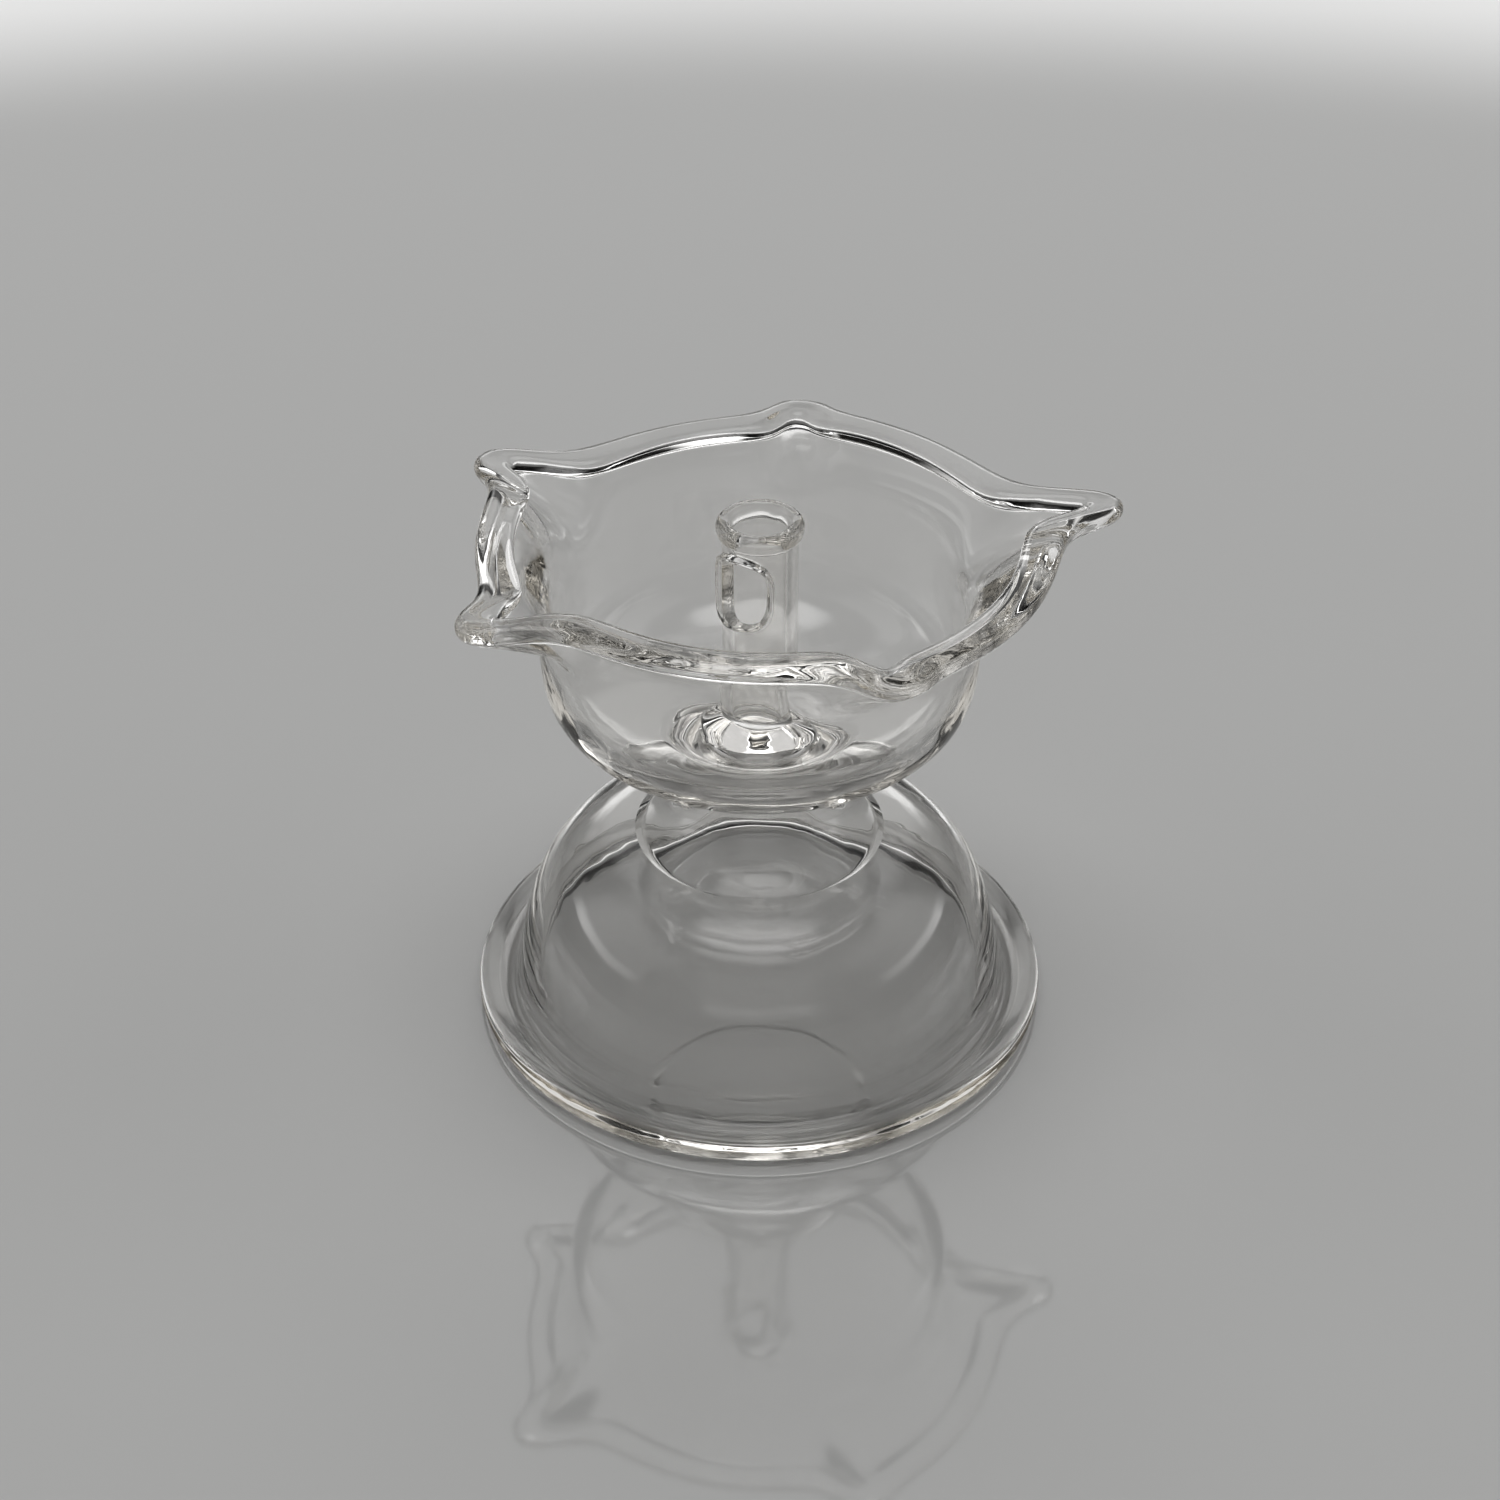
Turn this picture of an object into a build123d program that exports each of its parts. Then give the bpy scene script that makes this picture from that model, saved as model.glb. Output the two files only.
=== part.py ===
from build123d import *
import math
import os

# A clear lampworked glass dish on a domed foot, with a bored glass post in the middle of the bowl.
# Millimetres. The origin is on the axis at table level and +Z is up. The person looking at the dish
# stands at -Y, and plan angles are counted from +X towards +Y.

# ---------------------------------------------------------------- driving dimensions
wall = 2.0

foot_radius = 40.0
bead_radius = 1.9
bead_sweep = 215.0
groove_radius = 35.7
groove_height = 2.7
seat_inner_radius = 36.6

dome_base_radius = 33.9
dome_base_height = 5.0
dome_top_radius = 17.2
dome_top_height = 26.9
dome_outer_controls = ((33.4, 13.0), (30.0, 25.6))
dome_inner_controls = ((22.0, 24.4), (31.0, 22.6))

neck_waist_radius = 9.8
neck_waist_height = 35.0
neck_rise = 4.0
neck_lower_controls = ((14.2, 29.1), (10.0, 31.0))
neck_upper_control = (10.6, 42.0)
hollow_mouth_radius = 15.4
hollow_mouth_height = 25.2
hollow_lower_controls = ((7.8, 29.5), (12.3, 26.9))
hollow_waist_radius = 7.8
hollow_waist_height = 34.5
hollow_shoulder_height = 38.0
hollow_top_radius = 6.2
hollow_top_height = 41.2

bowl_base_radius = 14.3
bowl_base_height = 42.7
bowl_waist_radius = 29.1
bowl_waist_height = 60.0
bowl_floor_radius = 8.5
bowl_floor_height = 44.2
bowl_outer_controls = ((28.7, 46.2), (29.4, 50.1))
bowl_inner_controls = ((27.4, 51.0), (26.0, 47.0))
pinch_outer_half_width = 1.8
pinch_inner_half_width = 0.6

lip_middle_radius = 32.4
lip_middle_height = 72.6
lip_width = 5.0
lip_thickness = 2.8
lip_rounding = 1.12

post_radius = 5.0
post_top_height = 75.6
bore_radius = 3.4
bore_end_height = 46.5
post_lip_tube_radius = 1.05
post_lip_ring_radius = 4.75
post_lip_height = 2.7
post_weld_radius = 8.0
post_weld_shoulder_radius = 7.1
post_weld_shoulder_rise = 1.8
post_weld_rise = 2.8

window_angle = 235.0
window_middle_height = 66.6
window_width = 7.2
window_height = 9.5
window_edge = 0.75
window_edge_rise = 0.9
window_edge_rounding = 0.3

# Every tip is one pinch in the rim: its plan angle, how far its end stands from the axis, and how far
# the hand-shaped stretch of rim between it and the next tip swells out of the turned circle.
rim_tips = (
    (10.0, 48.4, -0.3),
    (80.5, 37.4, -3.0),
    (151.0, 43.4, 1.8),
    (212.0, 43.6, -2.0),
    (295.5, 40.2, 3.3),
)
tip_half_width = 2.5
gutter_half_width = 0.6
tip_skirt_angle = 15.0

# ---------------------------------------------------------------- derived dimensions
lip_underside = lip_middle_height - lip_thickness / 2
lip_top = lip_middle_height + lip_thickness / 2
lip_outer_radius = lip_middle_radius + lip_width / 2
lip_inner_radius = lip_middle_radius - lip_width / 2
post_lip_middle = post_top_height - post_lip_tube_radius
post_tube_top = post_top_height - post_lip_height
dome_inner_base_radius = dome_base_radius - wall

# How the bowl's wall flares above its waist: height, middle radius, half thickness, then how far the
# pinches stand out of its outer and inner faces, from 0 (none) to 1 (full). The first level is a little
# thinner than the turned wall that it starts in, so that the two don't share a face.
flare_levels = (
    (bowl_waist_height, bowl_waist_radius - wall / 2, wall / 2 - 0.15, 0, 0),
    (64.5, 28.3, wall / 2, 0.10, 0.08),
    (68.5, 29.6, wall / 2, 0.45, 0.40),
    (lip_underside, lip_middle_radius, wall / 2, 1, 1),
)


def plan_point(radius, angle, sideways=0.0):
    """A point in plan at this distance from the axis, then moved sideways along the circle."""
    turn = math.radians(angle)
    return (
        radius * math.cos(turn) - sideways * math.sin(turn),
        radius * math.sin(turn) + sideways * math.cos(turn),
    )


def pinched_outline(round_radius, reach, half_width):
    """Closed outline in plan: a circle whose pinches stand out by reach, from 0 (none) to 1 (full)."""
    ends = []
    for angle, tip_radius, swell in rim_tips:
        out = round_radius + reach * (tip_radius - lip_outer_radius)
        circle_drop = out - math.sqrt(out ** 2 - half_width ** 2)
        drop = (1 - reach) * circle_drop + reach * half_width
        ends.append((angle, out, drop, round_radius + reach * swell))
    for index, (angle, out, drop, stretch_radius) in enumerate(ends):
        next_angle, next_out, next_drop, _ = ends[(index + 1) % len(ends)]
        if next_angle < angle:
            next_angle += 360
        nub = ThreePointArc(
            plan_point(out - drop, angle, -half_width),
            plan_point(out, angle),
            plan_point(out - drop, angle, half_width),
        )
        arrival = math.radians(next_angle + 90) - 2 * math.atan(next_drop / half_width)
        Spline(
            nub @ 1,
            plan_point(stretch_radius, angle + tip_skirt_angle),
            plan_point(stretch_radius, (angle + next_angle) / 2),
            plan_point(stretch_radius, next_angle - tip_skirt_angle),
            plan_point(next_out - next_drop, next_angle, -half_width),
            tangents=(nub % 1, (math.cos(arrival), math.sin(arrival))),
        )


def pinched_section(height, round_radius, reach, half_width):
    """One level of a pinched solid, ready to be lofted to the levels above it."""
    with BuildSketch(Plane.XY.offset(height), mode=Mode.PRIVATE) as section:
        with BuildLine():
            pinched_outline(round_radius, reach, half_width)
        make_face()
    return section.sketch


# ---------------------------------------------------------------- foot
with BuildPart() as foot_rim:
    with BuildSketch(Plane.XZ):
        with BuildLine():
            bead = CenterArc((foot_radius - bead_radius, bead_radius), bead_radius, -90, bead_sweep)
            outside = Spline(
                bead @ 1,
                (groove_radius, groove_height),
                (dome_base_radius, dome_base_height),
                tangents=(bead % 1, (-0.05, 1)),
            )
            top = Line(outside @ 1, (dome_inner_base_radius, dome_base_height))
            inside = Spline(
                top @ 1,
                (groove_radius - wall, groove_height - wall),
                (seat_inner_radius, 0),
                tangents=((0, -1), (1, 0)),
            )
            Line(inside @ 1, bead @ 0)
        make_face()
    revolve(axis=Axis.Z)
foot_rim.part.label = "foot_rim"

with BuildPart() as foot_dome:
    with BuildSketch(Plane.XZ):
        with BuildLine():
            outside = Bezier(
                (dome_base_radius, dome_base_height),
                *dome_outer_controls,
                (dome_top_radius, dome_top_height),
            )
            inside = Bezier(
                (hollow_mouth_radius, hollow_mouth_height),
                *dome_inner_controls,
                (dome_inner_base_radius, dome_base_height),
            )
            Line(outside @ 1, inside @ 0)
            Line(inside @ 1, outside @ 0)
        make_face()
    revolve(axis=Axis.Z)
foot_dome.part.label = "foot_dome"

with BuildPart() as neck_weld:
    with BuildSketch(Plane.XZ):
        with BuildLine():
            lower_flank = Bezier(
                (dome_top_radius, dome_top_height),
                *neck_lower_controls,
                (neck_waist_radius, neck_waist_height),
            )
            upper_flank = Bezier(
                (neck_waist_radius, neck_waist_height),
                (neck_waist_radius, neck_waist_height + neck_rise),
                neck_upper_control,
                (bowl_base_radius, bowl_base_height),
            )
            Polyline(upper_flank @ 1, (0, bowl_base_height), (0, hollow_top_height))
            upper_hollow = Bezier(
                (0, hollow_top_height),
                (hollow_top_radius, hollow_top_height),
                (hollow_waist_radius, hollow_shoulder_height),
                (hollow_waist_radius, hollow_waist_height),
            )
            lower_hollow = Bezier(
                upper_hollow @ 1,
                *hollow_lower_controls,
                (hollow_mouth_radius, hollow_mouth_height),
            )
            Line(lower_hollow @ 1, lower_flank @ 0)
        make_face()
    revolve(axis=Axis.Z)
neck_weld.part.label = "neck_weld"

# ---------------------------------------------------------------- bowl
with BuildPart() as bowl:
    with BuildSketch(Plane.XZ):
        with BuildLine():
            outside = Bezier(
                (bowl_base_radius, bowl_base_height),
                *bowl_outer_controls,
                (bowl_waist_radius, bowl_waist_height),
            )
            inside = Bezier(
                (bowl_waist_radius - wall, bowl_waist_height),
                *bowl_inner_controls,
                (bowl_floor_radius, bowl_floor_height),
            )
            Line(outside @ 1, inside @ 0)
            Polyline(inside @ 1, (0, bowl_floor_height), (0, bowl_base_height), outside @ 0)
        make_face()
    revolve(axis=Axis.Z)
    outer_levels = []
    inner_levels = []
    for height, radius, half_wall, outer_reach, inner_reach in flare_levels:
        outer_levels.append(pinched_section(height, radius + half_wall, outer_reach, pinch_outer_half_width))
        inner_levels.append(pinched_section(height, radius - half_wall, inner_reach, pinch_inner_half_width))
    loft(outer_levels)
    loft(inner_levels, mode=Mode.SUBTRACT)
bowl.part.label = "bowl"

with BuildPart() as bowl_lip:
    outer_levels = []
    inner_levels = []
    for height, rounding in ((lip_underside, lip_rounding), (lip_middle_height, 0), (lip_top, lip_rounding)):
        outer_radius = lip_outer_radius - rounding
        inner_radius = lip_inner_radius + rounding
        outer_levels.append(pinched_section(height, outer_radius, 1, tip_half_width - rounding))
        inner_levels.append(pinched_section(height, inner_radius, 1, gutter_half_width + rounding))
    loft(outer_levels)
    loft(inner_levels, mode=Mode.SUBTRACT)
bowl_lip.part.label = "bowl_lip"

# ---------------------------------------------------------------- post
with BuildPart() as post_weld:
    with BuildSketch(Plane.XZ):
        with BuildLine():
            bead = ThreePointArc(
                (post_weld_radius, bowl_floor_height),
                (post_weld_shoulder_radius, bowl_floor_height + post_weld_shoulder_rise),
                (post_radius, bowl_floor_height + post_weld_rise),
            )
            Polyline(bead @ 1, (post_radius, bowl_floor_height), bead @ 0)
        make_face()
    revolve(axis=Axis.Z)
post_weld.part.label = "post_weld"

window_plane = Plane(
    origin=(0, 0, window_middle_height),
    x_dir=(-math.sin(math.radians(window_angle)), math.cos(math.radians(window_angle)), 0),
    z_dir=(math.cos(math.radians(window_angle)), math.sin(math.radians(window_angle)), 0),
)

with BuildPart() as window_lip:
    with BuildSketch(window_plane):
        Ellipse(window_width / 2 + window_edge, window_height / 2 + window_edge)
        Ellipse(window_width / 2, window_height / 2, mode=Mode.SUBTRACT)
    extrude(amount=2 * post_radius)
    with Locations((0, 0, window_middle_height)):
        Cylinder(post_radius + window_edge_rise, 2 * window_height, mode=Mode.INTERSECT)
        Cylinder(bore_radius, 2 * window_height, mode=Mode.SUBTRACT)
    crown = window_lip.faces().sort_by(lambda face: face.center().dot(window_plane.z_dir))[-1]
    fillet(crown.edges(), window_edge_rounding)
window_lip.part.label = "window_lip"

with BuildPart() as post_tube:
    with BuildSketch(Plane.XZ):
        with BuildLine():
            Polyline(
                (0, bowl_floor_height),
                (post_radius, bowl_floor_height),
                (post_radius, post_tube_top),
                (bore_radius, post_tube_top),
                (bore_radius, bore_end_height),
                (0, bore_end_height),
                close=True,
            )
        make_face()
    revolve(axis=Axis.Z)
    with BuildSketch(window_plane):
        Ellipse(window_width / 2 + window_edge, window_height / 2 + window_edge)
    extrude(amount=2 * post_radius, mode=Mode.SUBTRACT)
post_tube.part.label = "post_tube"

with BuildPart() as post_lip:
    with BuildSketch(Plane.XZ):
        with BuildLine():
            roll = CenterArc((post_lip_ring_radius, post_lip_middle), post_lip_tube_radius, 0, 180)
            mouth = Spline(
                roll @ 1,
                (bore_radius, post_tube_top),
                tangents=((0, -1), (-0.5, -1)),
            )
            seat = Line(mouth @ 1, (post_radius, post_tube_top))
            Spline(
                seat @ 1,
                roll @ 0,
                tangents=((0.6, 0.4), (0, 1)),
            )
        make_face()
    revolve(axis=Axis.Z)
post_lip.part.label = "post_lip"

# ---------------------------------------------------------------- files
os.makedirs("parts", exist_ok=True)
for piece in (foot_rim, foot_dome, neck_weld, bowl, bowl_lip, post_weld, window_lip, post_tube, post_lip):
    export_step(piece.part, f"parts/{piece.part.label}.step")
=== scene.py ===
from collections import namedtuple
import math

import bpy
import numpy as np
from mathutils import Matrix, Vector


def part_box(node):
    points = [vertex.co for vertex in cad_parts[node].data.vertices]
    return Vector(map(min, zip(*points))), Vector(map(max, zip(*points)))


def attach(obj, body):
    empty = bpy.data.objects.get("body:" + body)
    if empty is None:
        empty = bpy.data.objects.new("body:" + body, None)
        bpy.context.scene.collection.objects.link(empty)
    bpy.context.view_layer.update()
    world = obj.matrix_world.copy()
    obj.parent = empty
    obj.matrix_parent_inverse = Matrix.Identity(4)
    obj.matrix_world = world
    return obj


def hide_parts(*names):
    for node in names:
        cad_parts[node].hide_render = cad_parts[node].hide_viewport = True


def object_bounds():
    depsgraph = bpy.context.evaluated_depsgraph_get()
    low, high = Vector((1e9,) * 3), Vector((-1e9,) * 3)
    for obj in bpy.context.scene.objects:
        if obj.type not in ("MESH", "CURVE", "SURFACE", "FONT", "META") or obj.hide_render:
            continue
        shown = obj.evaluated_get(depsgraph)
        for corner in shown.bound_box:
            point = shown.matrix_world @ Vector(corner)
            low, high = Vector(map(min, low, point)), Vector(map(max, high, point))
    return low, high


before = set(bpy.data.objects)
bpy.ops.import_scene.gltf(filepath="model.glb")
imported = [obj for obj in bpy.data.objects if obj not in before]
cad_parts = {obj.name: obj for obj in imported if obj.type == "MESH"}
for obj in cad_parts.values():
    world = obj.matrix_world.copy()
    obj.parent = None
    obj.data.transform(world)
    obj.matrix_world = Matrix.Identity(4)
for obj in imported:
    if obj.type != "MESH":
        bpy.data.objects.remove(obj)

# The glass is one melted piece, so its skins are drawn first and then shared out to the named parts.
# A skin is a grid of points, rows along the profile and columns round the axis. Parts meet on weld
# faces inside the glass, which carry a fully clear material.

mm = 0.001
cad_low, cad_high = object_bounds()

# points and normals are rows x columns x 3; normals is None on a weld face; closed joins the last
# column to the first.
Patch = namedtuple("Patch", "points normals closed")


def bottom_of(node):
    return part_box(node)[0].z


def top_of(node):
    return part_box(node)[1].z


def radius_of(node):
    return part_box(node)[1].x


# ---------------------------------------------------------------- sizes, from the frame where it has them
wall = 2.0 * mm

foot_radius = radius_of("foot_rim")
bead_radius = 1.9 * mm
bead_middle = (foot_radius - bead_radius, bead_radius)
bead_end_angle = 125
groove = (35.7 * mm, 2.7 * mm)
seat_inner_radius = 36.6 * mm

dome_base = (radius_of("foot_dome"), top_of("foot_rim"))
dome_inner_base = (dome_base[0] - wall, dome_base[1])
dome_top = (radius_of("neck_weld"), top_of("foot_dome"))
neck_waist = (9.8 * mm, 35.0 * mm)
hollow_mouth = (15.4 * mm, 25.2 * mm)
hollow_waist = (7.8 * mm, 34.5 * mm)
hollow_top = 41.2 * mm

bowl_base = (14.3 * mm, top_of("neck_weld"))
bowl_waist = (29.1 * mm, 60.0 * mm)
floor_height = bottom_of("post_tube")
floor_radius = 8.5 * mm

lip_low = bottom_of("bowl_lip")
lip_thickness = top_of("bowl_lip") - lip_low
lip_middle = lip_low + lip_thickness / 2
lip_radius = 32.4 * mm
lip_half_width = 2.5 * mm
lip_seat_half_width = 1.0 * mm
lip_squareness = 0.8
lip_inner_setback = 5.4 * mm
wall_inner_setback = 4.4 * mm
wall_outer_setback = 1.0 * mm
flare_power = 4
draw_power = 2.6

post_radius = radius_of("post_tube")
bore_radius = 3.4 * mm
bore_end = 46.5 * mm
bore_round = 1.2 * mm
weld_radius = radius_of("post_weld")
weld_top = top_of("post_weld")
collar_low = bottom_of("post_lip")
collar_tube = 1.05 * mm
collar_ring = radius_of("post_lip") - collar_tube
collar_middle = top_of("post_lip") - collar_tube

window_angle = math.radians(235)
window_middle = (bottom_of("window_lip") + top_of("window_lip")) / 2
window_half_width = 3.6 * mm
window_half_height = 4.75 * mm
window_crown_radius = post_radius + 0.85 * mm

# One entry for each pinch in the rim: plan angle in degrees, how far its end stands from the axis, and
# how far the stretch of rim between it and the next one swells out of the turned circle.
rim_tips = (
    (10.0, 48.4 * mm, -0.3 * mm),
    (80.5, 37.4 * mm, -3.0 * mm),
    (151.0, 43.4 * mm, 1.8 * mm),
    (212.0, 43.6 * mm, -2.0 * mm),
    (295.5, 40.2 * mm, 3.3 * mm),
)
columns_per_side = 44
post_columns = 144
window_rows = 44


# ---------------------------------------------------------------- profile curves
def bezier(points, count):
    """Points along one cubic curve given by four (radius, height) control points."""
    a, b, c, d = (np.array(p) for p in points)
    t = np.linspace(0, 1, count)[:, None]
    return (1 - t) ** 3 * a + 3 * (1 - t) ** 2 * t * b + 3 * (1 - t) * t ** 2 * c + t ** 3 * d


def arc(centre, radius, start, end, count):
    """Points along an arc, from start to end in degrees."""
    turn = np.radians(np.linspace(start, end, count))
    return np.stack([centre[0] + radius * np.cos(turn), centre[1] + radius * np.sin(turn)], axis=1)


def line(start, end, count):
    return np.linspace(start, end, count)


def chain(*curves):
    """Curves end to end as one list of points, each joint kept once."""
    points = [curves[0]]
    for curve in curves[1:]:
        points.append(curve[1:])
    return np.concatenate(points)


# ---------------------------------------------------------------- the pinched rim in plan
def half_pinch(round_radius, height_out, nose, skirt, sector):
    """One side of a pinch, from its end to halfway to the next one: sideways and outward offsets."""
    share = np.linspace(1, 0, 400)[:-1] ** 3
    sideways = nose * np.sqrt(1 - share ** 6) + skirt * np.sqrt(1 / share - 1)
    reach = round_radius * sector
    inside = sideways < reach
    sideways = np.append(sideways[inside], reach)
    outward = np.append(share[inside], 0)
    outward *= height_out * (1 - (sideways / reach) ** 3) ** 2
    length = np.concatenate([[0], np.cumsum(np.hypot(np.diff(sideways), np.diff(outward)))])
    step = np.linspace(0, 1, columns_per_side + 1)
    along = (0.4 * step + 0.6 * step ** 2) * length[-1]
    return np.interp(along, length, sideways), np.interp(along, length, outward)


def axis_row(height, count):
    return np.tile([0.0, 0.0, height], (count, 1))


def ring(radius, height, draw=0.0, nose=1.0 * mm, skirt=2.0 * mm, setback=0.0):
    """One row of points round the axis. draw is how far the pinches are drawn out, from 0 to 1."""
    if radius <= 0:
        return axis_row(height, 2 * columns_per_side * len(rim_tips))
    columns = []
    for index, (angle, tip_radius, swell_after) in enumerate(rim_tips):
        angle_before, _, swell_before = rim_tips[index - 1]
        angle_after = rim_tips[(index + 1) % len(rim_tips)][0]
        tip = radius + draw * (tip_radius - setback - radius)
        for gap, swell, sign, order in (
            ((angle - angle_before) % 360, swell_before, -1, slice(None, 0, -1)),
            ((angle_after - angle) % 360, swell_after, 1, slice(0, -1)),
        ):
            stretch = radius + draw * swell
            sideways, outward = half_pinch(stretch, tip - stretch, nose, skirt, math.radians(gap / 2))
            distance = stretch + outward[order]
            turn = math.radians(angle) + sign * sideways[order] / distance
            columns.append(np.stack([distance * np.cos(turn), distance * np.sin(turn)], axis=1))
    plan = np.concatenate(columns)
    return np.column_stack([plan, np.full(len(plan), height)])


def turned(profile):
    """A skin with no pinches."""
    return np.array([ring(radius, height) for radius, height in profile])


def drawn_wall(height_share, inner):
    """One row of the bowl's wall above its waist, where the pinches grow out of it."""
    height = bowl_waist[1] + height_share * (lip_low - bowl_waist[1])
    flare = (lip_radius + lip_seat_half_width - bowl_waist[0]) * height_share ** flare_power
    radius = bowl_waist[0] + flare
    draw = height_share ** draw_power
    if inner:
        skirt = (4.0 - 2.2 * height_share) * mm
        return ring(radius - wall, height, draw, 0.5 * mm, skirt, wall_inner_setback)
    skirt = (5.0 - 2.6 * height_share) * mm
    return ring(radius, height, draw, 1.8 * mm, skirt, wall_outer_setback)


def lip_row(turn):
    """One row round the lip's flattened section, turn counted from its outer side over the top."""
    across = math.copysign(abs(math.cos(turn)) ** lip_squareness, math.cos(turn))
    up = math.copysign(abs(math.sin(turn)) ** lip_squareness, math.sin(turn))
    share = (1 + across) / 2
    setback = lip_inner_setback * (1 - share)
    nose = (0.5 + 1.8 * share) * mm
    skirt = (1.8 + 0.7 * share) * mm
    radius = lip_radius + lip_half_width * across
    return ring(radius, lip_middle + lip_thickness / 2 * up, 1, nose, skirt, setback)


# ---------------------------------------------------------------- skins
def normals_of(skin):
    """Unit normals of a skin that closes on itself round the axis."""
    along = np.gradient(skin, axis=0)
    around = np.roll(skin, -1, axis=1) - np.roll(skin, 1, axis=1)
    normal = np.cross(around, along)
    length = np.linalg.norm(normal, axis=2, keepdims=True)
    flat = length[..., 0] < 1e-14
    normal = normal / np.maximum(length, 1e-20)
    for row in np.nonzero(flat.any(axis=1))[0]:
        beside = normal[row + 1] if row == 0 else normal[row - 1]
        mean = beside.mean(axis=0)
        normal[row] = mean / np.linalg.norm(mean)
    return normal


def split(skin, *counts):
    """Cuts a skin and its normals into runs of rows that share their end rows."""
    normal = normals_of(skin)
    runs = []
    start = 0
    for count in counts:
        runs.append(Patch(skin[start:start + count], normal[start:start + count], True))
        start += count - 1
    return runs


neck_hollow_curve = chain(
    bezier(((0, hollow_top), (6.2 * mm, hollow_top), (hollow_waist[0], 38.0 * mm), hollow_waist), 24),
    bezier((hollow_waist, (hollow_waist[0], 29.5 * mm), (12.3 * mm, 26.9 * mm), hollow_mouth), 24),
)
inside_curve = bezier((hollow_mouth, (22.0 * mm, 24.4 * mm), (31.0 * mm, 22.6 * mm), dome_inner_base), 70)
inner_groove = (groove[0] - wall, groove[1] - wall)
under_curve = chain(
    bezier((
        dome_inner_base,
        (dome_inner_base[0], 3.0 * mm),
        (inner_groove[0] - 0.9 * mm, 1.0 * mm),
        inner_groove,
    ), 12),
    bezier((inner_groove, (34.5 * mm, 0.4 * mm), (35.6 * mm, 0), (seat_inner_radius, 0)), 10),
    line((seat_inner_radius, 0), (bead_middle[0], 0), 5),
)
bead_curve = arc(bead_middle, bead_radius, -90, bead_end_angle, 34)
groove_curve = chain(
    bezier((bead_curve[-1], (36.6 * mm, 3.17 * mm), (36.2 * mm, groove[1]), groove), 10),
    bezier((groove, (34.9 * mm, groove[1]), (dome_base[0] + 0.05 * mm, 3.3 * mm), dome_base), 12),
)
outside_curve = bezier((dome_base, (33.4 * mm, 13.0 * mm), (30.0 * mm, 25.6 * mm), dome_top), 80)
rim_curve = chain(under_curve, bead_curve, groove_curve)
neck_inside, foot_inside, foot_underside, foot_outside = split(
    turned(chain(neck_hollow_curve, inside_curve, rim_curve, outside_curve)),
    len(neck_hollow_curve), len(inside_curve), len(rim_curve), len(outside_curve),
)

neck_curve = chain(
    bezier((dome_top, (14.2 * mm, 29.1 * mm), (10.0 * mm, 31.0 * mm), neck_waist), 30),
    bezier((neck_waist, (neck_waist[0], 39.0 * mm), (10.6 * mm, 42.0 * mm), bowl_base), 30),
)
bowl_curve = bezier((bowl_base, (28.7 * mm, 46.2 * mm), (29.4 * mm, 50.1 * mm), bowl_waist), 60)
hollow_rim = (bowl_waist[0] - wall, bowl_waist[1])
hollow_floor = (floor_radius, floor_height)
hollow_curve = chain(
    bezier((hollow_rim, (hollow_rim[0] + 0.3 * mm, 51.0 * mm), (26.0 * mm, 47.0 * mm), hollow_floor), 60),
    line(hollow_floor, (weld_radius, floor_height), 4),
)
wall_shares = np.linspace(0, 1, 44)
seat_turn = math.radians(52)
lip_turns = np.linspace(-seat_turn, math.pi + seat_turn, 56)
outer_wall = np.array([drawn_wall(share, False) for share in wall_shares])
inner_wall = np.array([drawn_wall(share, True) for share in wall_shares[::-1]])
lip_skin = np.array([lip_row(turn) for turn in lip_turns])
dish_skin = np.concatenate([
    turned(neck_curve),
    turned(bowl_curve)[1:],
    outer_wall[1:],
    lip_skin[1:-1],
    inner_wall,
    turned(hollow_curve)[1:],
])
neck_outside, bowl_outside, lip_around, bowl_inside = split(
    dish_skin,
    len(neck_curve),
    len(bowl_curve) + len(outer_wall) - 1,
    len(lip_skin),
    len(inner_wall) + len(hollow_curve) - 1,
)


# ---------------------------------------------------------------- turning skins into parts
def weld_face(start_row, end_row):
    """The face inside the glass between two rows, or from a row to a point on the axis."""
    return Patch(np.array([start_row, end_row]), None, True)


def quads_of(patch):
    """Corner numbers of a patch's faces, four to a face."""
    rows, columns, _ = patch.points.shape
    spans = columns if patch.closed else columns - 1
    row, column = np.meshgrid(np.arange(rows - 1), np.arange(spans), indexing="ij")
    beside = (column + 1) % columns
    low, high = row * columns, (row + 1) * columns
    return np.stack([low + column, low + beside, high + beside, high + column], axis=-1).reshape(-1, 4)


def corner_normals_of(patch, quads):
    if patch.normals is not None:
        return patch.normals.reshape(-1, 3)[quads]
    corners = patch.points.reshape(-1, 3)[quads]
    flat = np.cross(corners[:, 2] - corners[:, 0], corners[:, 3] - corners[:, 1])
    flat /= np.maximum(np.linalg.norm(flat, axis=1, keepdims=True), 1e-20)
    return np.repeat(flat[:, None, :], 4, axis=1)


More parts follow.
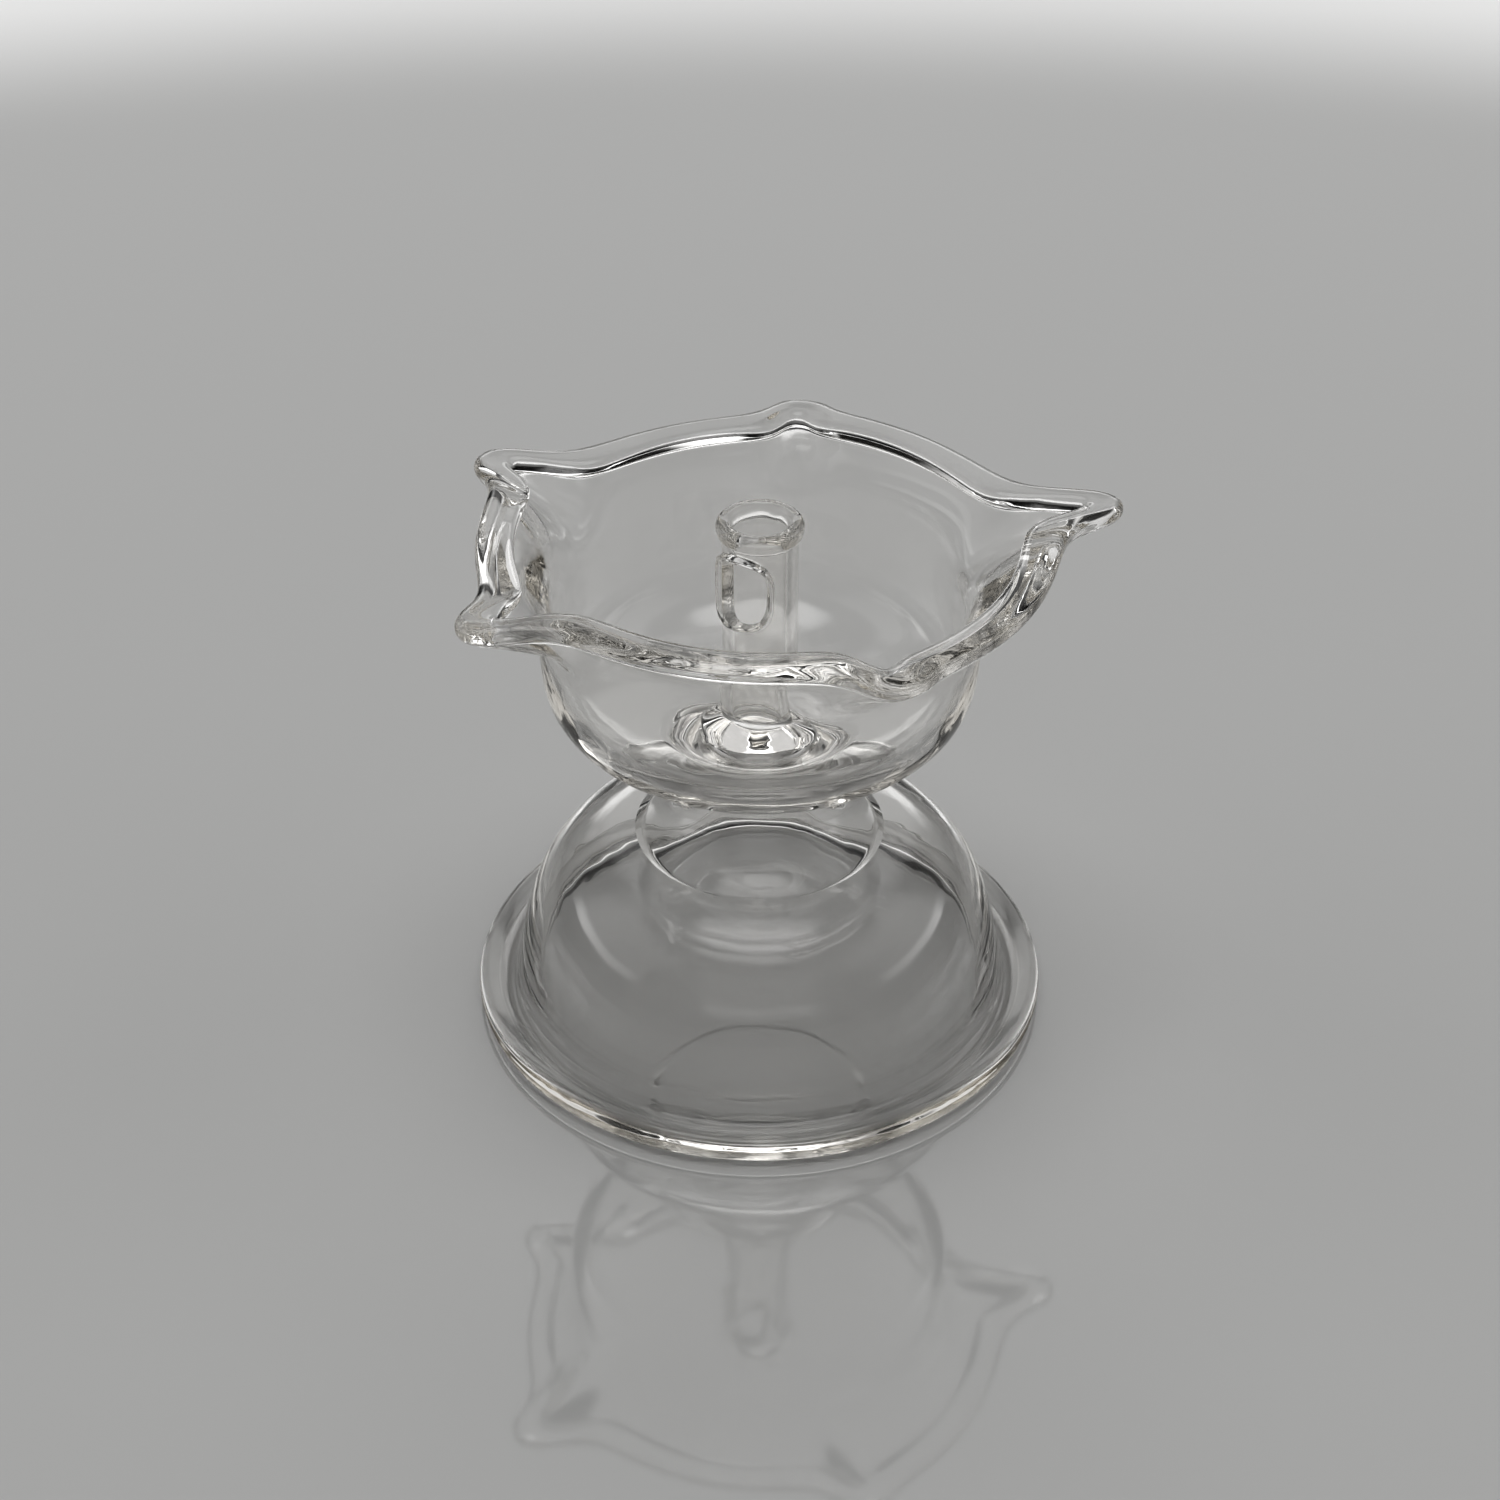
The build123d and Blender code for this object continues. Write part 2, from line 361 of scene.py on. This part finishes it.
def build_part(name, node, patches, glass):
    """One closed mesh from skins and weld faces, with its place under the root and its materials; the CAD
    part it stands for is hidden.
    """
    points = np.concatenate([patch.points.reshape(-1, 3) for patch in patches])
    faces = []
    normals = []
    welded = []
    start = 0
    for patch in patches:
        quads = quads_of(patch)
        faces.append(quads + start)
        normals.append(corner_normals_of(patch, quads))
        welded.append(np.full(len(quads), patch.normals is None))
        start += patch.points.shape[0] * patch.points.shape[1]
    rounded = np.round(points / (0.0005 * mm)).astype(np.int64)
    _, first_of, same_as = np.unique(rounded, axis=0, return_index=True, return_inverse=True)
    corners = same_as.reshape(-1)[np.concatenate(faces)]
    distinct = corners != np.roll(corners, 1, axis=1)
    real = distinct.sum(axis=1) >= 3
    distinct = distinct[real]
    loops = corners[real][distinct]
    sides = distinct.sum(axis=1)

    mesh = bpy.data.meshes.new(name)
    mesh.vertices.add(len(first_of))
    mesh.vertices.foreach_set("co", points[first_of].ravel())
    mesh.loops.add(len(loops))
    mesh.loops.foreach_set("vertex_index", loops)
    mesh.polygons.add(len(sides))
    mesh.polygons.foreach_set("loop_start", np.cumsum(sides) - sides)
    mesh.update(calc_edges=True)
    mesh.materials.append(glass)
    mesh.materials.append(melted_joint)
    mesh.polygons.foreach_set("material_index", np.concatenate(welded)[real].astype(np.int32))
    mesh.polygons.foreach_set("use_smooth", np.ones(len(sides), bool))
    mesh.normals_split_custom_set(np.concatenate(normals)[real][distinct])
    part = bpy.data.objects.new(name, mesh)
    bpy.context.scene.collection.objects.link(part)
    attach(part, "root")
    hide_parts(node)


# ---------------------------------------------------------------- materials
glass_ior = 1.473
glass_colour = (0.996, 0.994, 0.990, 1)


def node_material(name):
    material = bpy.data.materials.new(name)
    material.use_nodes = True
    tree = material.node_tree
    tree.nodes.clear()
    return material, tree, tree.nodes.new("ShaderNodeOutputMaterial")


def weld_material():
    """The melted joint inside the glass: light goes straight through it."""
    material, tree, output = node_material("melted_joint")
    clear = tree.nodes.new("ShaderNodeBsdfTransparent")
    tree.links.new(clear.outputs[0], output.inputs["Surface"])
    return material


def around_the_axis(tree, place, angle_weight):
    """Radius, height and turn as one vector, so that a texture runs round the axis in long streaks."""
    axes = tree.nodes.new("ShaderNodeSeparateXYZ")
    flat = tree.nodes.new("ShaderNodeVectorMath")
    flat.operation = "MULTIPLY"
    flat.inputs[1].default_value = (1, 1, 0)
    radius = tree.nodes.new("ShaderNodeVectorMath")
    radius.operation = "LENGTH"
    turn = tree.nodes.new("ShaderNodeMath")
    turn.operation = "ARCTAN2"
    along = tree.nodes.new("ShaderNodeMath")
    along.operation = "MULTIPLY"
    along.inputs[1].default_value = angle_weight
    joined = tree.nodes.new("ShaderNodeCombineXYZ")
    tree.links.new(place.outputs["Object"], axes.inputs[0])
    tree.links.new(place.outputs["Object"], flat.inputs[0])
    tree.links.new(flat.outputs[0], radius.inputs[0])
    tree.links.new(axes.outputs["Y"], turn.inputs[0])
    tree.links.new(axes.outputs["X"], turn.inputs[1])
    tree.links.new(turn.outputs[0], along.inputs[0])
    tree.links.new(radius.outputs["Value"], joined.inputs["X"])
    tree.links.new(axes.outputs["Z"], joined.inputs["Y"])
    tree.links.new(along.outputs[0], joined.inputs["Z"])
    return joined.outputs[0]


def glass_material(name, ripple_size, ripple_depth, stretch=(1, 1, 1), streak=None):
    """Clear borosilicate glass with the faint ripples of hand working. streak runs them round the axis."""
    material, tree, output = node_material(name)
    glass = tree.nodes.new("ShaderNodeBsdfGlass")
    glass.inputs["IOR"].default_value = glass_ior
    glass.inputs["Roughness"].default_value = 0.0
    glass.inputs["Color"].default_value = glass_colour
    place = tree.nodes.new("ShaderNodeTexCoord")
    scale = tree.nodes.new("ShaderNodeMapping")
    scale.inputs["Scale"].default_value = stretch
    ripples = tree.nodes.new("ShaderNodeTexNoise")
    ripples.inputs["Scale"].default_value = 1 / ripple_size
    ripples.inputs["Detail"].default_value = 2.0
    bump = tree.nodes.new("ShaderNodeBump")
    bump.inputs["Distance"].default_value = ripple_depth
    bump.inputs["Strength"].default_value = 1.0
    grain = place.outputs["Object"] if streak is None else around_the_axis(tree, place, streak)
    tree.links.new(grain, scale.inputs["Vector"])
    tree.links.new(scale.outputs[0], ripples.inputs["Vector"])
    tree.links.new(ripples.outputs["Fac"], bump.inputs["Height"])
    tree.links.new(bump.outputs[0], glass.inputs["Normal"])
    tree.links.new(glass.outputs[0], output.inputs["Surface"])
    return material


blown_glass = glass_material("blown_glass", 11 * mm, 0.14 * mm)
rolled_glass = glass_material("rolled_glass", 14 * mm, 0.05 * mm)
drawn_glass = glass_material("drawn_glass", 1.2 * mm, 0.022 * mm, streak=2.5 * mm)
tube_glass = glass_material("tube_glass", 6 * mm, 0.02 * mm, (1, 1, 0.3))
melted_joint = weld_material()

# ---------------------------------------------------------------- foot, neck, bowl and lip
dish_columns = foot_outside.points.shape[1]
neck_axis = axis_row(bowl_base[1], dish_columns)
floor_axis = axis_row(floor_height, dish_columns)

build_part("foot_rim_glass", "foot_rim", [
    foot_underside,
    weld_face(foot_outside.points[0], foot_inside.points[-1]),
], rolled_glass)

build_part("foot_dome_glass", "foot_dome", [
    foot_outside,
    weld_face(foot_outside.points[-1], foot_inside.points[0]),
    foot_inside,
    weld_face(foot_inside.points[-1], foot_outside.points[0]),
], blown_glass)

build_part("neck_weld_glass", "neck_weld", [
    neck_outside,
    weld_face(neck_outside.points[-1], neck_axis),
    neck_inside,
    weld_face(neck_inside.points[-1], neck_outside.points[0]),
], blown_glass)

build_part("bowl_glass", "bowl", [
    bowl_outside,
    weld_face(bowl_outside.points[-1], bowl_inside.points[0]),
    bowl_inside,
    weld_face(bowl_inside.points[-1], floor_axis),
    weld_face(neck_axis, bowl_outside.points[0]),
], blown_glass)

build_part("bowl_lip_glass", "bowl_lip", [
    lip_around,
    weld_face(lip_around.points[-1], lip_around.points[0]),
], drawn_glass)

# ---------------------------------------------------------------- post, with its blown side window
full_turn = np.linspace(0, 2 * math.pi, post_columns, endpoint=False)
back_half = np.linspace(math.pi, 2 * math.pi, post_columns // 2 + 1)
window_high = collar_low - 0.3 * mm
window_patch_half_height = window_high - window_middle
window_low = window_middle - window_patch_half_height


def post_ring(radius, height, turns=full_turn):
    """A row round the post. Turns run from a quarter turn before the window to one after it, and on."""
    turn = window_angle - math.pi / 2 + turns
    return np.stack([radius * np.cos(turn), radius * np.sin(turn), np.full(len(turn), height)], axis=1)


def turned_post(profile):
    skin = np.array([post_ring(radius, height) for radius, height in profile])
    return Patch(skin, normals_of(skin), True)


def tube_outside(low, high, rows, turns=full_turn):
    points = np.array([post_ring(post_radius, height, turns) for height in np.linspace(low, high, rows)])
    normals = np.broadcast_to(post_ring(1, 0, turns), points.shape)
    return Patch(points, normals, turns is full_turn)


def tube_bore(low, high, rows, turns=full_turn):
    points = np.array([post_ring(bore_radius, height, turns) for height in np.linspace(high, low, rows)])
    normals = np.broadcast_to(post_ring(-1, 0, turns), points.shape)
    return Patch(points, normals, turns is full_turn)


def around_window():
    """The rectangle that the window's faces fill and the squarish oval that they close on, in step."""
    half = post_columns // 2
    across = np.linspace(-math.pi / 2, math.pi / 2, half + 1)
    up = np.linspace(-window_patch_half_height, window_patch_half_height, window_rows + 1)
    left, right = np.full(window_rows, across[0]), np.full(window_rows, across[-1])
    sideways = np.concatenate([across[:-1], right, across[:0:-1], left])
    upward = np.concatenate([np.full(half, up[0]), up[:-1], np.full(half, up[-1]), up[:0:-1]])
    turn = np.arctan2(upward / window_patch_half_height, sideways / (math.pi / 2))
    squareness = (np.abs(np.cos(turn)) ** 3 + np.abs(np.sin(turn)) ** 3) ** (-1 / 3)
    edge_sideways = math.asin(window_half_width / post_radius) * np.cos(turn) * squareness
    return sideways, upward, edge_sideways, window_half_height * np.sin(turn) * squareness


def window_row(radius, distance, spread=0.0):
    """A row round the window at this radius, a distance out from the opening's edge.

    spread takes it on from there, as a share of what is left before the window's rectangle.
    """
    border_sideways, border_upward, edge_sideways, edge_upward = around_window()
    reach = np.hypot((border_sideways - edge_sideways) * post_radius, border_upward - edge_upward)
    share = spread + (1 - spread) * distance / reach
    turn = window_angle + edge_sideways + share * (border_sideways - edge_sideways)
    height = window_middle + edge_upward + share * (border_upward - edge_upward)
    return np.stack([radius * np.cos(turn), radius * np.sin(turn), height], axis=1)


def window_skin():
    """Three runs: the tube's outside round the window, its raised edge, and the bore round it."""
    crown = window_crown_radius
    outer_foot = (post_radius, 1.0 * mm)
    inner_foot = (bore_radius, 1.0 * mm)
    throat = (4.3 * mm, 0.05 * mm)
    edge = chain(
        bezier((outer_foot, (post_radius, 0.75 * mm), (crown, 0.75 * mm), (crown, 0.4 * mm)), 12),
        bezier(((crown, 0.4 * mm), (crown, 0), (post_radius, 0), throat), 14),
        bezier((throat, (3.8 * mm, 0.1 * mm), (bore_radius, 0.3 * mm), inner_foot), 14),
    )
    spreads = np.linspace(0, 1, 7)
    outer_rows = [window_row(*outer_foot, spread) for spread in spreads[::-1]]
    edge_rows = [window_row(radius, distance) for radius, distance in edge]
    inner_rows = [window_row(*inner_foot, spread) for spread in spreads]
    return split(
        np.array(outer_rows + edge_rows[1:-1] + inner_rows), len(outer_rows), len(edge_rows), len(inner_rows)
    )


tube_near_window, window_edge, bore_near_window = window_skin()

weld_shoulder = (5.9 * mm, weld_top)
weld_bead = turned_post(bezier((
    (weld_radius, floor_height),
    (weld_radius, floor_height + 1.8 * mm),
    weld_shoulder,
    (post_radius, weld_top),
), 20))
collar_outside = (collar_ring + collar_tube, collar_middle)
collar_inside = (collar_ring - collar_tube, collar_middle)
collar = turned_post(chain(
    bezier((
        (post_radius, collar_low),
        (post_radius + 0.5 * mm, collar_low + 0.1 * mm),
        (collar_outside[0], collar_middle - 0.7 * mm),
        collar_outside,
    ), 12),
    arc((collar_ring, collar_middle), collar_tube, 0, 180, 30),
    bezier((
        collar_inside,
        (collar_inside[0], collar_middle - 0.5 * mm),
        (bore_radius + 0.15 * mm, collar_low + 0.5 * mm),
        (bore_radius, collar_low),
    ), 12),
))
bore_bottom = turned_post(bezier((
    (bore_radius, bore_end + bore_round),
    (bore_radius, bore_end + 0.4 * mm),
    (0.6 * bore_radius, bore_end),
    (0, bore_end),
), 16))
tube_foot = post_ring(post_radius, floor_height)

build_part("post_weld_glass", "post_weld", [
    weld_bead,
    weld_face(weld_bead.points[-1], tube_foot),
    weld_face(tube_foot, weld_bead.points[0]),
], tube_glass)

build_part("post_tube_glass", "post_tube", [
    weld_face(axis_row(floor_height, post_columns), tube_foot),
    weld_face(tube_foot, post_ring(post_radius, weld_top)),
    tube_outside(weld_top, window_low, 8),
    tube_outside(window_low, window_high, window_rows + 1, back_half),
    tube_near_window,
    weld_face(tube_near_window.points[-1], bore_near_window.points[0]),
    bore_near_window,
    tube_bore(window_low, window_high, window_rows + 1, back_half),
    tube_outside(window_high, collar_low, 4),
    weld_face(post_ring(post_radius, collar_low), post_ring(bore_radius, collar_low)),
    tube_bore(window_high, collar_low, 4),
    tube_bore(bore_end + bore_round, window_low, 8),
    bore_bottom,
], tube_glass)

build_part("window_lip_glass", "window_lip", [
    window_edge,
    weld_face(window_edge.points[-1], window_edge.points[0]),
], tube_glass)

build_part("post_lip_glass", "post_lip", [
    collar,
    weld_face(collar.points[-1], collar.points[0]),
], tube_glass)


# ---------------------------------------------------------------- floor, light and camera
floor_reach = 60 * foot_radius
floor_gap = 0.02 * mm
floor_colour = (0.70, 0.70, 0.69, 1)
floor_polish = 0.05
floor_ior = 2.0
room_brightness = 0.65
lens = 66.2
camera_tilt = 35.0
camera_place = (-0.033 * foot_radius, -7.68 * foot_radius, 6.36 * foot_radius)
most_bounces = 64


def make_floor():
    """A plain pale polished table."""
    reach = floor_reach
    mesh = bpy.data.meshes.new("floor")
    corners = [(-reach, -reach, 0), (reach, -reach, 0), (reach, reach, 0), (-reach, reach, 0)]
    mesh.from_pydata(corners, [], [(0, 1, 2, 3)])
    floor = bpy.data.objects.new("floor", mesh)
    floor.location.z = cad_low.z - floor_gap
    material, tree, output = node_material("polished_floor")
    surface = tree.nodes.new("ShaderNodeBsdfPrincipled")
    surface.inputs["Base Color"].default_value = floor_colour
    surface.inputs["Roughness"].default_value = floor_polish
    surface.inputs["IOR"].default_value = floor_ior
    tree.links.new(surface.outputs[0], output.inputs["Surface"])
    mesh.materials.append(material)
    bpy.context.scene.collection.objects.link(floor)


def maths(tree, operation, *values):
    """One arithmetic node, fed by numbers or by other nodes' outputs."""
    node = tree.nodes.new("ShaderNodeMath")
    node.operation = operation
    for socket, value in zip(node.inputs, values):
        if isinstance(value, float):
            socket.default_value = value
        else:
            tree.links.new(value, socket)
    return node.outputs[0]


def fade(tree, value, start, end, at_start, at_end):
    """A soft step from one brightness to another as the value goes from start to end."""
    node = tree.nodes.new("ShaderNodeMapRange")
    node.interpolation_type = "SMOOTHSTEP"
    for name, setting in zip(("From Min", "From Max", "To Min", "To Max"), (start, end, at_start, at_end)):
        node.inputs[name].default_value = setting
    tree.links.new(value, node.inputs["Value"])
    return node.outputs[0]


def make_surroundings():
    """Soft studio light: a tall panel on each of the four sides, brightest low down, and one overhead.

    Between the panels and along the horizon the room is dark, which draws the dark edges in the glass.
    """
    world = bpy.data.worlds.new("soft_studio")
    bpy.context.scene.world = world
    world.use_nodes = True
    tree = world.node_tree
    tree.nodes.clear()
    output = tree.nodes.new("ShaderNodeOutputWorld")
    backdrop = tree.nodes.new("ShaderNodeBackground")
    place = tree.nodes.new("ShaderNodeTexCoord")
    axes = tree.nodes.new("ShaderNodeSeparateXYZ")
    tree.links.new(place.outputs["Generated"], axes.inputs[0])
    across, forward, up = axes.outputs

    foot_of_panel = fade(tree, up, 0.20, 0.25, 0.0, 1.0)
    low_part = fade(tree, up, 0.32, 0.37, 2.0, 0.0)
    tall_part = fade(tree, up, 0.78, 0.84, 1.0, 0.0)
    off_centre = maths(tree, "MINIMUM", maths(tree, "ABSOLUTE", across), maths(tree, "ABSOLUTE", forward))
    panels = maths(tree, "MULTIPLY", foot_of_panel, maths(tree, "ADD", low_part, tall_part))
    panels = maths(tree, "MULTIPLY", panels, fade(tree, off_centre, 0.33, 0.50, 1.0, 0.02))
    panels = maths(tree, "MULTIPLY", panels, fade(tree, forward, -0.6, 0.6, 0.3, 1.0))
    overhead = fade(tree, up, 0.92, 0.97, 0.0, 3.0)
    tree.links.new(maths(tree, "ADD", panels, overhead), backdrop.inputs["Color"])
    backdrop.inputs["Strength"].default_value = room_brightness
    tree.links.new(backdrop.outputs[0], output.inputs["Surface"])


def make_camera():
    camera_data = bpy.data.cameras.new("camera")
    camera_data.sensor_width = 36
    camera_data.lens = lens
    camera_data.clip_start = 0.01
    camera = bpy.data.objects.new("camera", camera_data)
    camera.location = camera_place
    camera.rotation_euler = (math.radians(90 - camera_tilt), 0, 0)
    bpy.context.scene.collection.objects.link(camera)
    bpy.context.scene.camera = camera


make_floor()
make_surroundings()
make_camera()
bpy.context.scene.view_settings.view_transform = "Standard"
bpy.context.scene.view_settings.look = "Medium High Contrast"
bpy.context.scene.cycles.max_bounces = most_bounces
bpy.context.scene.cycles.transmission_bounces = most_bounces
bpy.context.scene.cycles.glossy_bounces = most_bounces
bpy.context.scene.cycles.transparent_max_bounces = 2 * most_bounces
